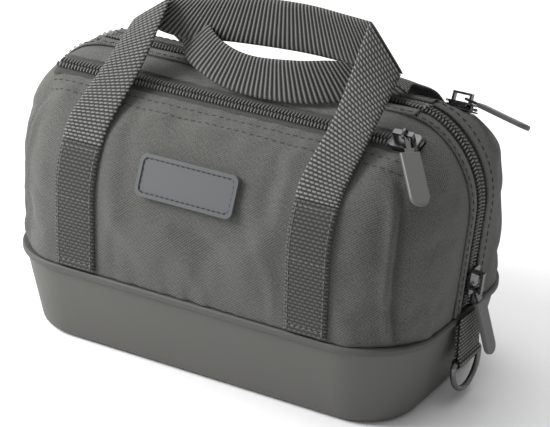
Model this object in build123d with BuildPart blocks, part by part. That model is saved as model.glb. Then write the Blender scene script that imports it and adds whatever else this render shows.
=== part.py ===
from build123d import *
from math import asin, atan2, cos, degrees, hypot, radians, sin, tan
import os

os.makedirs("parts", exist_ok=True)

# Soft carry case on a moulded base.  +X along the length, the badge faces -Y,
# the base stands on Z = 0.  All sizes are in millimetres.

# moulded base
bag_length = 254.0
bag_width = 144.0
base_height = 48.0
base_draft = 10.0            # how far each wall comes in from the rim to the floor
plan_corner_r = 41.0
base_wall = 2.6
floor_edge_r = 7.0
board_t = 1.6
pad_t = 4.0
insert_gap = 1.0             # round the board and the pad
piping_out = 1.6
piping_h = 4.0

# soft upper
ridge_height = 160.0
plan_margin = 1.0            # the rounded plan outline stands this far off the flat sides
roof_slope = 25.0            # degrees, down from the ridge to the shoulders
shoulder_r = 60.0
ridge_r = 35.0
end_lean = 5.0               # degrees, the ends lean out
end_r = 48.0
skin = 2.4
seam_gap = 2.0               # from the base rim to the soft upper
panel_inset = 9.0            # from the bag's end to where panel and gusset meet
corner_dip = 7.0             # how far the top corners are drawn in
corner_in_x = 7.0            # where the undipped corner lies, from the end,
corner_past_zip = 12.0       # past the pocket zip's centre line,
corner_in_z = 18.0           # and from the ridge
corner_taper = 8.25          # lean of the flat that thins each upright corner, in degrees
taper_rise = 18.0            # height above the seam where that flat starts
pocket_depth = 7.0
pocket_wall_t = 1.0
pocket_side = 4.0            # pocket stops this far inside the panel's ends
open_angle_pivot_z = base_height + seam_gap

# zips
pocket_zip_y = 31.0
zip_inset = 16.0             # from the bag's end to the pocket zip's end
slot_half = 7.0
row_gap = 1.4
chain_width = 8.0
coil_h = 2.3
tape_t = 0.8
tape_depth = 0.6             # tape's outer face below the skin's outer face
coil_start = 4.0             # rows of the long zip start this far over the seam
binding_w = 6.0
binding_t = 0.8

# sliders and pullers
slider_l = 15.5
slider_w = 11.0
plate_t = 1.1
play = 0.35
post_t = 1.0
post_l = 3.5
bail_l = 11.0
bail_w = 3.2
bail_h = 5.2
bail_t = 1.2
link_r = 0.7
eye_play = 0.25
eye_t = 1.1
eye_reach = 3.0              # how much further the hanging grip starts from its eye
shank_w = 2.4
shank_t = 1.3
grip_w = 10.4
grip_t = 2.6
grip_start = 8.0
grip_end = 38.0
core_w = 5.0
core_t = 1.0
core_l = 22.0
park_gap = 0.25              # closed slider to the end of its zip
main_slider_z = 69.0
back_pull_angle = -12.0      # degrees above the zip
main_pull_angle = 22.0

# webbing
strap_w = 25.4
strap_t = 1.8
strap_x = 72.0
strap_top_z = 121.0
strap_foot = 1.5             # from the soft upper's edge
leg_gap = 0.25               # handle leg above the shoulder
ridge_gap = 2.4              # back handle's legs above the roof's apex
front_band_lift = 13.4
back_band_lift = -9.3        # it hangs over the front roof
hinge_rise = 1.6             # degrees of shoulder between a stitched end and its handle

# rings
ring_wire_r = 1.6
ring_half_w = 15.5
ring_corner_r = 2.2
ring_drop = 18.5
ring_z = 24.0
ring_play = 0.15
tab_fold_t = 1.45
tab_top = 51.0

# badge
badge_w = 60.0
badge_h = 23.0
badge_t = 2.6
badge_r = 4.0
badge_x = -3.0
badge_z = 114.0
badge_rim = 2.0
badge_sink = 0.9

# ---- places worked out from the sizes above ----
slope = radians(roof_slope)
lean = radians(end_lean)
seam_z = base_height + seam_gap
end_x = bag_length / 2
panel_half_x = end_x - panel_inset
pocket_zip_len = 2 * (end_x - zip_inset)
pocket_slider_x = end_x - zip_inset - slider_l / 2 - park_gap
apex_z = ridge_height + ridge_r * (1 / cos(slope) - 1)
shoulder_z = apex_z - bag_width / 2 * tan(slope)
arc_z = shoulder_z - shoulder_r * tan((radians(90) - slope) / 2)
arc_y = bag_width / 2 - shoulder_r
roof_z = apex_z - pocket_zip_y * tan(slope)
roof = Plane(origin=(0, -pocket_zip_y, roof_z), x_dir=(1, 0, 0), z_dir=(0, -sin(slope), cos(slope)))
pocket_zip = Plane(
    origin=(pocket_slider_x, -pocket_zip_y, roof_z), x_dir=(1, 0, 0), z_dir=roof.z_dir
)
main_zip = Plane(
    origin=(end_x + (main_slider_z - seam_z) * tan(lean), 0, main_slider_z),
    x_dir=(-sin(lean), 0, -cos(lean)),
    z_dir=(cos(lean), 0, -sin(lean)),
)
coil_top = coil_h - tape_depth
top_plate_z = coil_top + play
bottom_plate_z = -tape_depth - tape_t - play - plate_t
bail_z = top_plate_z + plate_t
foot_top_z = main_slider_z + slider_l / 2 * cos(lean) + 0.7
corner_x = end_x - corner_in_x
corner_y = pocket_zip_y + corner_past_zip
corner_z = ridge_height - corner_in_z
corner_normal = Vector(0.5, 0.45, 0.74).normalized()
taper = radians(corner_taper)
taper_normal = Vector(cos(taper) * cos(radians(45)), cos(taper) * sin(radians(45)), sin(taper))
taper_out = (plan_corner_r + plan_margin) * cos(radians(45))
taper_x = end_x - plan_corner_r + taper_out
taper_y = bag_width / 2 - plan_corner_r + taper_out
far = 400.0


def save(piece, label):
    piece.part.label = label
    export_step(piece.part, f"parts/{label}.step")


def loaf(inset):
    """Closed form of the soft upper, every face drawn in by inset."""
    grow = plan_margin - inset
    half_w = bag_width / 2
    top_x = end_x + (ridge_height - seam_z) * tan(lean)
    low_x = end_x - seam_z * tan(lean)
    with BuildPart() as body:
        with BuildSketch(Plane.XY.offset(seam_z)):
            RectangleRounded(bag_length + 2 * grow, bag_width + 2 * grow, plan_corner_r + grow)
        extrude(amount=ridge_height, taper=-end_lean)
        with BuildSketch(Plane.YZ):
            with BuildLine():
                Polyline((-half_w, 0), (-half_w, shoulder_z), (0, apex_z),
                         (half_w, shoulder_z), (half_w, 0), close=True)
            make_face()
            corners = vertices().group_by(Axis.Y)
            fillet(corners[1], shoulder_r)
            fillet(vertices().sort_by(Axis.Y)[-1], ridge_r)
            offset(amount=-inset)
        extrude(amount=far, both=True, mode=Mode.INTERSECT)
        with BuildSketch(Plane.XZ):
            with BuildLine():
                Polyline((-low_x, 0), (-top_x, ridge_height), (top_x, ridge_height),
                         (low_x, 0), close=True)
            make_face()
            fillet(vertices().group_by(Axis.Y)[-1], end_r)
            offset(amount=-inset)
        extrude(amount=far, both=True, mode=Mode.INTERSECT)
        for sx in (-1, 1):
            for sy in (-1, 1):
                normal = Vector(sx * corner_normal.X, sy * corner_normal.Y, corner_normal.Z)
                corner = Vector(sx * corner_x, sy * corner_y, corner_z - corner_dip)
                split(bisect_by=Plane(origin=corner - normal * inset, z_dir=normal), keep=Keep.BOTTOM)
                normal = Vector(sx * taper_normal.X, sy * taper_normal.Y, taper_normal.Z)
                corner = Vector(sx * taper_x, sy * taper_y, seam_z + taper_rise)
                split(bisect_by=Plane(origin=corner - normal * inset, z_dir=normal), keep=Keep.BOTTOM)
    return body.part


outside = loaf(0)
inside = loaf(skin)
coil_outside = loaf(-coil_top)
tape_outside = loaf(tape_depth)
tape_inside = loaf(tape_depth + tape_t)
strap_outside = loaf(-strap_t)
binding_outside = loaf(-binding_t)


def block(x, y, z):
    """Box between two limits on each axis, kept apart from any open builder."""
    size = [hi - lo for lo, hi in (x, y, z)]
    middle = [(hi + lo) / 2 for lo, hi in (x, y, z)]
    return Pos(*middle) * Box(*size, mode=Mode.PRIVATE)


def mirrored(piece, label):
    """The same piece on the back half."""
    with BuildPart() as copy:
        add(mirror(piece.part, about=Plane.XZ, mode=Mode.PRIVATE))
    save(copy, label)
    return copy


def shoulder_point(angle, lift):
    """Point on the front shoulder, at an arc angle from its start, lifted off the cloth."""
    r = shoulder_r + lift
    return (-arc_y - r * cos(radians(angle)), arc_z + r * sin(radians(angle)))


# ---- moulded base ----
def base_form(inset, floor):
    """Tapered tub with a rounded floor edge, drawn in by inset and raised by floor."""
    grow = base_draft * (1 - floor / base_height)
    length = bag_length - 2 * (inset + grow)
    width = bag_width - 2 * (inset + grow)
    draft = degrees(atan2(base_draft, base_height))
    with BuildPart() as tub:
        with BuildSketch(Plane.XY.offset(floor)):
            RectangleRounded(length, width, plan_corner_r - inset - grow)
        extrude(amount=base_height - floor, taper=-draft)
        fillet(tub.edges().group_by(Axis.Z)[0], floor_edge_r - inset)
    return tub.part


base_outside = base_form(0, 0)
base_inside = base_form(base_wall, base_wall)

with BuildPart() as base_tray:
    add(base_outside)
    add(base_inside, mode=Mode.SUBTRACT)
save(base_tray, "base_tray")


def floor_insert(bottom, thickness):
    """Flat insert that follows the tub's inner walls at its own height."""
    with BuildPart() as slab:
        add(base_form(base_wall + insert_gap, base_wall))
        add(block((-far, far), (-far, far), (bottom, bottom + thickness)), mode=Mode.INTERSECT)
    return slab


base_board = floor_insert(base_wall, board_t)
save(base_board, "base_board")
floor_pad = floor_insert(base_wall + board_t, pad_t)
save(floor_pad, "floor_pad")

with BuildPart() as seam_piping:
    with BuildSketch(Plane.XY.offset(base_height + seam_gap * 0.75 - piping_h)):
        RectangleRounded(bag_length + 2 * piping_out, bag_width + 2 * piping_out,
                         plan_corner_r + piping_out)
    extrude(amount=piping_h)
    chamfer(seam_piping.edges().group_by(Axis.Z)[0], piping_out / 2)
    chamfer(seam_piping.edges().group_by(Axis.Z)[-1], piping_out / 2)
    with BuildSketch(Plane.XY.offset(base_height)):
        RectangleRounded(bag_length - 2 * base_wall, bag_width - 2 * base_wall,
                         plan_corner_r - base_wall)
    extrude(amount=piping_h, mode=Mode.SUBTRACT)
    add(base_outside, mode=Mode.SUBTRACT)
save(seam_piping, "seam_piping")

# ---- ring tabs and rings at both ends ----
tab_x = end_x + piping_out
ring_x = tab_x + tab_fold_t + ring_play
eye_r = ring_wire_r + ring_play


def ring_tab(side):
    """Webbing folded round the ring's bar, its two layers sewn flat above."""
    with BuildPart() as tab:
        with BuildSketch(Plane.XZ):
            with Locations((side * ring_x, ring_z)):
                Circle(eye_r + tab_fold_t)
            with Locations((side * ring_x, (ring_z + tab_top) / 2)):
                Rectangle(2 * tab_fold_t + 2 * ring_play, tab_top - ring_z)
            with Locations((side * ring_x, ring_z)):
                Circle(eye_r, mode=Mode.SUBTRACT)
        extrude(amount=strap_w / 2, both=True)
    return tab


def d_ring(side):
    """Bent wire: a straight bar in the tab and a half-round bow below it."""
    bow_z = ring_z - ring_drop + ring_half_w
    place = Plane(origin=(side * ring_x, 0, 0), x_dir=(0, 1, 0), z_dir=(1, 0, 0))
    with BuildPart() as ring:
        with BuildLine(place):
            FilletPolyline((-ring_half_w, bow_z), (-ring_half_w, ring_z),
                           (ring_half_w, ring_z), (ring_half_w, bow_z), radius=ring_corner_r)
            ThreePointArc((ring_half_w, bow_z), (0, ring_z - ring_drop), (-ring_half_w, bow_z))
        with BuildSketch(Plane(origin=(side * ring_x, 0, ring_z), x_dir=(1, 0, 0), z_dir=(0, 1, 0))):
            Circle(ring_wire_r)
        sweep()
    return ring


for side, word in ((1, "right"), (-1, "left")):
    save(ring_tab(side), f"ring_tab_{word}")
    save(d_ring(side), f"d_ring_{word}")

# ---- front half ----
below_zip = block((-panel_half_x, panel_half_x), (-far, 0), (0, far))
above_slot = roof.location * Pos(0, far / 2 - slot_half, 0) * Box(far * 2, far, far, mode=Mode.PRIVATE)
zip_slot = roof.location * Box(pocket_zip_len, 2 * slot_half, 4 * skin, mode=Mode.PRIVATE)

with BuildPart() as front_panel:
    add(outside)
    add(inside, mode=Mode.SUBTRACT)
    add(below_zip, mode=Mode.INTERSECT)
    add(above_slot, mode=Mode.SUBTRACT)
save(front_panel, "front_panel")

with BuildPart() as front_gusset:
    add(outside)
    add(inside, mode=Mode.SUBTRACT)
    add(block((-far, far), (-far, -slot_half), (0, far)), mode=Mode.INTERSECT)
    add(front_panel.part, mode=Mode.SUBTRACT)
    add(zip_slot, mode=Mode.SUBTRACT)
save(front_gusset, "front_gusset")

with BuildPart() as front_binding:
    add(binding_outside)
    add(outside, mode=Mode.SUBTRACT)
    add(block((-far, far), (-slot_half - binding_w, -slot_half), (0, far)), mode=Mode.INTERSECT)
save(front_binding, "front_binding")


def pocket_solid(side_in, floor_z, depth, over):
    """Space behind the pocket panel, from its inner face down to depth."""
    half = panel_half_x - pocket_side - side_in
    edge = slot_half + over
    with BuildPart() as space:
        add(inside)
        add(block((-half, half), (-far, 0), (floor_z, far)), mode=Mode.INTERSECT)
        add(roof.location * Pos(0, far / 2 + edge, 0) * Box(far * 2, far, far, mode=Mode.PRIVATE),
            mode=Mode.SUBTRACT)
        add(loaf(skin + depth), mode=Mode.SUBTRACT)
    return space.part


with BuildPart() as front_pocket_wall:
    add(pocket_solid(0, seam_z + 2, pocket_depth + pocket_wall_t, pocket_wall_t))
    add(pocket_solid(pocket_wall_t, seam_z + 2 + pocket_wall_t, pocket_depth, 0), mode=Mode.SUBTRACT)
save(front_pocket_wall, "front_pocket_wall")


def zip_strip(place, length, width, bottom, height):
    """Two parallel strips along a straight zip, either side of its centre line."""
    with BuildPart() as strip:
        with BuildSketch(place.offset(bottom)):
            for side in (-1, 1):
                with Locations((0, side * (row_gap / 2 + width / 2))):
                    Rectangle(length, width)
        extrude(amount=height)
    return strip


tape_w = slot_half - row_gap / 2
row_w = (chain_width - row_gap) / 2
front_zip_tape = zip_strip(roof, pocket_zip_len, tape_w, -tape_depth - tape_t, tape_t)
save(front_zip_tape, "front_zip_tape")
front_zip_coil = zip_strip(roof, pocket_zip_len, row_w, -tape_depth, coil_h)
save(front_zip_coil, "front_zip_coil")


def stitched_strap(side):
    """Handle webbing where it is sewn flat to the panel."""
    near = side * strap_x - strap_w / 2
    with BuildPart() as strap:
        add(strap_outside)
        add(outside, mode=Mode.SUBTRACT)
        add(block((near, near + strap_w), (-far, 0), (seam_z + strap_foot, strap_top_z)),
            mode=Mode.INTERSECT)
    return strap


front_strap_right = stitched_strap(1)
save(front_strap_right, "front_strap_right")
front_strap_left = stitched_strap(-1)
save(front_strap_left, "front_strap_left")

badge_angle = degrees(asin((badge_z - arc_z) / shoulder_r))
badge_y, badge_up = shoulder_point(badge_angle, -badge_sink)
badge_face = Plane(
    origin=(badge_x, badge_y, badge_up),
    x_dir=(1, 0, 0),
    z_dir=(0, -cos(radians(badge_angle)), sin(radians(badge_angle))),
)
with BuildPart() as badge:
    with BuildSketch(badge_face):
        RectangleRounded(badge_w, badge_h, badge_r)
    extrude(amount=badge_t + badge_sink)
    with BuildSketch(badge_face.offset(badge_t + badge_sink - 0.6)):
        RectangleRounded(badge_w - 2 * badge_rim, badge_h - 2 * badge_rim, badge_r - badge_rim / 2)
    extrude(amount=2, mode=Mode.SUBTRACT)
    add(outside, mode=Mode.SUBTRACT)
save(badge, "badge")

# ---- long zip over the top: two rows, one on each half ----
row_band = block((-far, far), (-chain_width / 2, -row_gap / 2), (seam_z + coil_start, far))
tape_band = block((-far, far), (-slot_half, -row_gap / 2), (seam_z, far))

with BuildPart() as main_coil_front:
    add(coil_outside)
    add(tape_outside, mode=Mode.SUBTRACT)
    add(row_band, mode=Mode.INTERSECT)
save(main_coil_front, "main_coil_front")

with BuildPart() as main_tape_front:
    add(tape_outside)
    add(tape_inside, mode=Mode.SUBTRACT)
    add(tape_band, mode=Mode.INTERSECT)
save(main_tape_front, "main_tape_front")

# the back row's last stretch stays with the base, inside and below the parked slider
foot_gap = 0.4
foot = block((0, far), (0, far), (0, foot_top_z))
foot_clear = block((0, far), (0, far), (0, foot_top_z + foot_gap))
for row, word in ((main_coil_front, "coil"), (main_tape_front, "tape")):
    with BuildPart() as foot_piece:
        add(mirror(row.part, about=Plane.XZ, mode=Mode.PRIVATE))
        add(foot, mode=Mode.INTERSECT)
    save(foot_piece, f"main_{word}_foot")
    with BuildPart() as back_piece:
        add(mirror(row.part, about=Plane.XZ, mode=Mode.PRIVATE))
        add(foot_clear, mode=Mode.SUBTRACT)
    save(back_piece, f"main_{word}_back")

# ---- back half: the same panel, gusset, pocket, zip and straps ----
for piece, label in (
    (front_panel, "back_panel"),
    (front_gusset, "back_gusset"),
    (front_binding, "back_binding"),
    (front_pocket_wall, "back_pocket_wall"),
    (front_zip_tape, "back_zip_tape"),
    (front_zip_coil, "back_zip_coil"),
    (front_strap_right, "back_strap_right"),
    (front_strap_left, "back_strap_left"),
):
    mirrored(piece, label)


# ---- handles ----
def handle(leg, edges_of_band):
    """One webbing loop: two legs joined by a grip band with folded corners."""
    half = strap_x + strap_w / 2

    def webbing(points):
        for (y0, z0), (y1, z1) in zip(points, points[1:]):
            run = hypot(y1 - y0, z1 - z0)
            with Locations(((y0 + y1) / 2, (z0 + z1) / 2)):
                SlotCenterToCenter(run, strap_t, rotation=degrees(atan2(z1 - z0, y1 - y0)))

    low, high = edges_of_band
    run = hypot(high[0] - low[0], high[1] - low[1])
    up = Vector(0, high[0] - low[0], high[1] - low[1]).normalized()
    band_face = Plane(origin=(0, low[0], low[1]), x_dir=(1, 0, 0), z_dir=Vector(1, 0, 0).cross(up))
    with BuildPart() as loop:
        for x in (-half, half - strap_w):
            with BuildSketch(Plane.YZ.offset(x)):
                webbing(leg)
            extrude(amount=strap_w)
        with BuildSketch(Plane.YZ):
            webbing(edges_of_band)
        extrude(amount=half, both=True)
        with BuildSketch(band_face):
            for side in (-1, 1):
                with BuildLine():
                    Polyline((side * (half + 1), -1), (side * (half + 1), run + 1),
                             (side * (half - run - 1), run + 1), close=True)
                make_face()
        extrude(amount=2 * strap_t, both=True, mode=Mode.SUBTRACT)
    return loop


def band(y, lift, angle):
    """Lower and upper edge of a grip band, the lower one lifted off the roof's apex height."""
    a = radians(angle)
    low = Vector(y, apex_z + lift)
    high = low + Vector(cos(a), sin(a)) * strap_w
    return ((low.X, low.Y), (high.X, high.Y))


strap_end = degrees(asin((strap_top_z - arc_z) / shoulder_r))
hinge_y, hinge_z = shoulder_point(strap_end + hinge_rise, strap_t / 2 + leg_gap)
rest_y, rest_z = shoulder_point(strap_end + 16, strap_t / 2 + leg_gap + 2)
roof_start = 90 - roof_slope

front_grip = band(-18.0, front_band_lift, 72)
front_leg = ((hinge_y, hinge_z), (rest_y, rest_z), front_grip[0])
front_handle = handle(front_leg, front_grip)
save(front_handle, "front_handle")

back_grip = band(-23.6, back_band_lift, 60.7)
crest_y, crest_z = shoulder_point(roof_start - 2, 4.2)
back_leg = ((-hinge_y, hinge_z), (-rest_y, rest_z), (-crest_y, crest_z), (5.0, apex_z + ridge_gap),
            back_grip[1])
back_handle = handle(back_leg, back_grip)
save(back_handle, "back_handle")


# ---- sliders and pullers ----
def slider(place):
    """Zip slider: plates over and under the chain, side flanges, post and bail."""
    wall = (slider_w - chain_width) / 2 - play
    flange_low = -tape_depth + play
    bail_face = Plane(origin=place.origin, x_dir=place.x_dir, z_dir=-place.y_dir)
    with BuildPart() as body:
        for height in (top_plate_z, bottom_plate_z):
            with BuildSketch(place.offset(height)):
                RectangleRounded(slider_l, slider_w, slider_w / 4)
            extrude(amount=plate_t)
        with BuildSketch(place.offset(flange_low)):
            for side in (-1, 1):
                with Locations((0, side * (slider_w - wall) / 2)):
                    Rectangle(slider_l - slider_w / 2, wall)
        extrude(amount=top_plate_z - flange_low)
        with BuildSketch(place.offset(bottom_plate_z + plate_t)):
            with Locations((slider_l / 2 - post_l, 0)):
                Rectangle(post_l, post_t)
        extrude(amount=top_plate_z - bottom_plate_z - plate_t)
        with BuildSketch(bail_face):
            with Locations((0, bail_z + bail_h / 2)):
                Rectangle(bail_l, bail_h)
                Rectangle(bail_l - 2 * bail_t, bail_h, mode=Mode.PRIVATE)
            with Locations((0, bail_z + (bail_h - bail_t) / 2)):
                Rectangle(bail_l - 2 * bail_t, bail_h - bail_t, mode=Mode.SUBTRACT)
        extrude(amount=bail_w / 2, both=True)
    return body


def grip(place):
    """Rubber sleeve moulded over the puller's core."""
    length = grip_end - grip_start
    with BuildPart() as sleeve:
        with BuildSketch(place.offset(-grip_t / 2)):
            with Locations(((grip_start + grip_end) / 2 - grip_w / 4, 0)):
                Rectangle(length - grip_w / 2, grip_w)
            with Locations((grip_end - grip_w / 2, 0)):
                Circle(grip_w / 2)
        extrude(amount=grip_t)
        across = Axis(place.origin, place.z_dir)
        chamfer(sleeve.faces().sort_by(across)[-1].edges(), 0.5)
        chamfer(sleeve.faces().sort_by(across)[0].edges(), 0.5)
        with BuildSketch(place.offset(-core_t / 2)):
            with Locations((grip_start + core_l / 2, 0)):
                Rectangle(core_l, core_w)
        extrude(amount=core_t, mode=Mode.SUBTRACT)
    return sleeve


def loop_link(place):
    """Open loop whose bar turns in the end of the bail, then the core."""
    side_y = bail_w / 2 + play + shank_t / 2
    start = hypot(bail_l / 2 - loop_x, bail_z + bail_h - loop_z) + play
    with BuildPart() as link:
        bar = Plane(origin=place.origin, x_dir=place.x_dir, z_dir=place.y_dir)
        with BuildSketch(bar):
            Circle(link_r)
        extrude(amount=side_y + shank_t / 2, both=True)
        with BuildSketch(place.offset(-link_r)):
            for side in (-1, 1):
                with Locations(((start + 1) / 2, side * side_y)):
                    Rectangle(start + 1, shank_t)
            with Locations((start + shank_t / 2, 0)):
                Rectangle(shank_t, 2 * side_y + shank_t)
        extrude(amount=2 * link_r)
        with BuildSketch(place.offset(-core_t / 2)):
            with Locations(((start + grip_start + core_l) / 2, 0)):
                Rectangle(grip_start + core_l - start, core_w)
        extrude(amount=core_t)
    return link


def eye_link(place, bar_dir):
    """Round eye that hangs on the middle of the bail, a shank, then the core."""
    hole = hypot(bail_w, bail_t) / 2 + eye_play
    with BuildPart() as link:
        with BuildSketch(place.offset(-shank_t / 2)):
            with Locations(((hole + grip_start + eye_reach) / 2, 0)):
                Rectangle(grip_start + eye_reach - hole, shank_w)
        extrude(amount=shank_t)
        with BuildSketch(place.offset(-core_t / 2)):
            with Locations((grip_start + eye_reach + (core_l - shank_w) / 2, 0)):
                Rectangle(core_l + shank_w, core_w)
        extrude(amount=core_t)
        with BuildSketch(Plane(origin=place.origin, z_dir=bar_dir)):
            Circle(hole + eye_t)
        extrude(amount=shank_t / 2, both=True)
        with BuildSketch(Plane(origin=place.origin, z_dir=bar_dir)):
            Circle(hole)
        extrude(amount=shank_t * 2, both=True, mode=Mode.SUBTRACT)
    return link


loop_x = 3.2
loop_z = bail_z + 1.85


def tail_plane(place, angle):
    """Puller's own plane, hinged in the end of the bail and raised by angle."""
    a = radians(angle)
    along = place.x_dir * cos(a) + place.z_dir * sin(a)
    normal = place.z_dir * cos(a) - place.x_dir * sin(a)
    pivot = place.origin + place.x_dir * loop_x + place.z_dir * loop_z
    return Plane(origin=pivot, x_dir=along, z_dir=normal)


main_slider = slider(main_zip)
save(main_slider, "main_slider")
main_pull = tail_plane(main_zip, main_pull_angle)
save(loop_link(main_pull), "main_pull_link")
save(grip(main_pull), "main_pull_grip")

front_slider = slider(pocket_zip)
save(front_slider, "front_slider")
mirrored(front_slider, "back_slider")
back_pull = tail_plane(pocket_zip, back_pull_angle)
mirrored(loop_link(back_pull), "back_pull_link")
mirrored(grip(back_pull), "back_pull_grip")

eye_x = 1.0
eye_origin = pocket_zip.origin + pocket_zip.x_dir * eye_x + pocket_zip.z_dir * (bail_z + bail_h - bail_t / 2)
corner_side = Vector(corner_normal.X, -corner_normal.Y, corner_normal.Z)
hang = Vector(0.55, -0.56, -0.62).normalized()
across = hang.cross(corner_side).normalized()
front_pull = Plane(origin=eye_origin, x_dir=hang, z_dir=across.cross(hang))
save(eye_link(front_pull, pocket_zip.x_dir), "front_pull_link")
reach = Plane(origin=eye_origin + hang * eye_reach, x_dir=hang, z_dir=front_pull.z_dir)
save(grip(reach), "front_pull_grip")

print("front handle hinge", round(hinge_y, 2), round(hinge_z, 2))
print("main pull pivot", main_pull.origin, "back pull pivot", back_pull.origin)
print("front pull pivot", front_pull.origin)
print("ring axis", round(ring_x, 2), ring_z, "arc", round(arc_y, 2), round(arc_z, 2))
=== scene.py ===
import math

import bmesh
import bpy
import numpy as np
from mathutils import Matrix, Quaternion, Vector
from mathutils.bvhtree import BVHTree


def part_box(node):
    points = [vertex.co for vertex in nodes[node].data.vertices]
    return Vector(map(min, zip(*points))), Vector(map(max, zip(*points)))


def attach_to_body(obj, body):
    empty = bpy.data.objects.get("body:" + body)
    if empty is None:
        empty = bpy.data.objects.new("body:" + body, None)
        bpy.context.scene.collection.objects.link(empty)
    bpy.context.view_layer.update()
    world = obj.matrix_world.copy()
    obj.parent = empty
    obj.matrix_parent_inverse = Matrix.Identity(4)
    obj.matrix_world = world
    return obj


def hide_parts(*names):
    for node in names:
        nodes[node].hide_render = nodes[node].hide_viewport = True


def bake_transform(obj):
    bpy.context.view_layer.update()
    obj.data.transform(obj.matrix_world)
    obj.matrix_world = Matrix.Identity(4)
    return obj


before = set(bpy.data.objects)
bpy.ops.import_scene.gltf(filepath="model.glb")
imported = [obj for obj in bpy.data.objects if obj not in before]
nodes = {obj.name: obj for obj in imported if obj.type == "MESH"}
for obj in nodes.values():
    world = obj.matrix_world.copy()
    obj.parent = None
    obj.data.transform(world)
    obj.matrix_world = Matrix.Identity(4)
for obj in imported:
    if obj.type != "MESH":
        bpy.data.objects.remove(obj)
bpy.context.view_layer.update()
mm = 0.001

# The shape of the soft upper, in millimetres. Every cloth piece is laid out on it.
bagForm = {
    "halfLength": 127.0, "halfWidth": 72.0, "seamZ": 50.0, "planCornerR": 41.0, "planMargin": 1.0,
    "shoulderR": 60.0, "shoulderY": 12.0, "shoulderZ": 91.82,
    "apexZ": 163.62, "roofSlope": 25.0, "ridgeR": 35.0, "ridgeTop": 160.0,
    "endLean": 5.0, "endR": 48.0, "endX": 84.24, "endZ": 112.0,
    "cornerNormal": (0.5, 0.45, 0.74), "cornerPoint": (120.0, 43.0, 137.0), "softness": 7.0,
    "taper": 8.25, "taperPoint": (115.7, 60.7, 68.0), "taperSoftness": 15.0,
}
zipY = 31.0
zipHalf = 111.0
slotHalf = 7.0
slope = math.radians(bagForm["roofSlope"])
roofZ = bagForm["apexZ"] - zipY * math.tan(slope)
shoulderTurn = 90 - bagForm["roofSlope"]
gradientStep = 0.4
uvShift = 300


def softMax(a, b, width):
    h = np.maximum(width - np.abs(a - b), 0) / width
    return np.maximum(a, b) + h * h * width / 4


# signed distance to the soft upper's outside, negative inside
def bagField(p):
    form = bagForm
    x, y, z = np.abs(p[:, 0]), np.abs(p[:, 1]), p[:, 2]
    vy, vz = y - form["shoulderY"], z - form["shoulderZ"]
    angle = np.degrees(np.arctan2(vz, vy))
    roof = y * math.sin(slope) + (z - form["apexZ"]) * math.cos(slope)
    ridgeZ = form["ridgeTop"] - form["ridgeR"]
    ridgeAngle = np.degrees(np.arctan2(y, z - ridgeZ))
    ridge = np.hypot(y, z - ridgeZ) - form["ridgeR"]
    roof = np.where((ridgeAngle < form["roofSlope"]) & (z > ridgeZ), ridge, roof)
    side = np.where(angle < 90 - form["roofSlope"], np.hypot(vy, vz) - form["shoulderR"], roof)
    side = np.where((vz < 0) & (vy > 0), y - form["halfWidth"], side)
    side = np.where((vy <= 0) & (vz <= 0), y - form["halfWidth"], side)

    lean = math.radians(form["endLean"])
    wall = (x - form["halfLength"]) * math.cos(lean) - (z - form["seamZ"]) * math.sin(lean)
    wx, wz = x - form["endX"], z - form["endZ"]
    angle = np.degrees(np.arctan2(wz, wx))
    end = np.where(angle > 90, z - form["ridgeTop"], np.hypot(wx, wz) - form["endR"])
    end = np.where(angle < -form["endLean"], wall, end)

    grow = (z - form["seamZ"]) * math.tan(lean) + form["planMargin"]
    r = form["planCornerR"] + grow
    qx = x - (form["halfLength"] + grow - r)
    qy = y - (form["halfWidth"] + grow - r)
    plan = np.hypot(np.maximum(qx, 0), np.maximum(qy, 0)) + np.minimum(np.maximum(qx, qy), 0) - r
    plan = plan * math.cos(lean)

    n = np.array(form["cornerNormal"])
    n = n / np.linalg.norm(n)
    c = np.array(form["cornerPoint"])
    corner = (x - c[0]) * n[0] + (y - c[1]) * n[1] + (z - c[2]) * n[2]
    t = math.radians(form["taper"])
    n2 = (math.cos(t) * math.sqrt(0.5), math.cos(t) * math.sqrt(0.5), math.sin(t))
    c2 = form["taperPoint"]
    upright = (x - c2[0]) * n2[0] + (y - c2[1]) * n2[1] + (z - c2[2]) * n2[2]
    d = softMax(side, end, form["softness"])
    d = softMax(np.maximum(d, plan), upright, form["taperSoftness"])
    return softMax(d, corner, form["softness"])


def fieldNormal(p):
    out = np.zeros_like(p)
    for k in range(3):
        step = np.zeros(3)
        step[k] = gradientStep
        out[:, k] = bagField(p + step) - bagField(p - step)
    return unit(out, 1e-9)


# moves points along the field until they lie a given height off the cloth
def dropOn(p, lift=0.0, rounds=6):
    p = np.array(p, float)
    for _ in range(rounds):
        p = p - fieldNormal(p) * (bagField(p) - lift)[:, None]
    return p


def flipY(p):
    p = np.array(p, float)
    p[..., 1] *= -1
    return p


# each row of an array made one long
def unit(rows, least=0.0):
    return rows / np.maximum(np.linalg.norm(rows, axis=1), least)[:, None]


def linked(name, data):
    obj = bpy.data.objects.new(name, data)
    bpy.context.scene.collection.objects.link(obj)
    return obj


# rows of points or normals, on the back half where flip is set
def sided(flip, *rows):
    return [flipY(row) for row in rows] if flip else list(rows)


def meshPiece(name, points, faces, material, uv=None):
    mesh = bpy.data.meshes.new(name)
    corners = [tuple(q) for q in np.asarray(points, float) * mm]
    mesh.from_pydata(corners, [], [list(map(int, f)) for f in faces])
    if uv is not None:
        layer = mesh.uv_layers.new(name="UVMap")
        loops = np.zeros(len(mesh.loops), int)
        mesh.loops.foreach_get("vertex_index", loops)
        layer.data.foreach_set("uv", np.asarray(uv, float)[loops].ravel())
    mesh.validate()
    mesh.shade_smooth()
    mesh.materials.append(material)
    return linked(name, mesh)


def vertexArray(obj):
    co = np.zeros(len(obj.data.vertices) * 3)
    obj.data.vertices.foreach_get("co", co)
    return co.reshape(-1, 3) / mm


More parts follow.
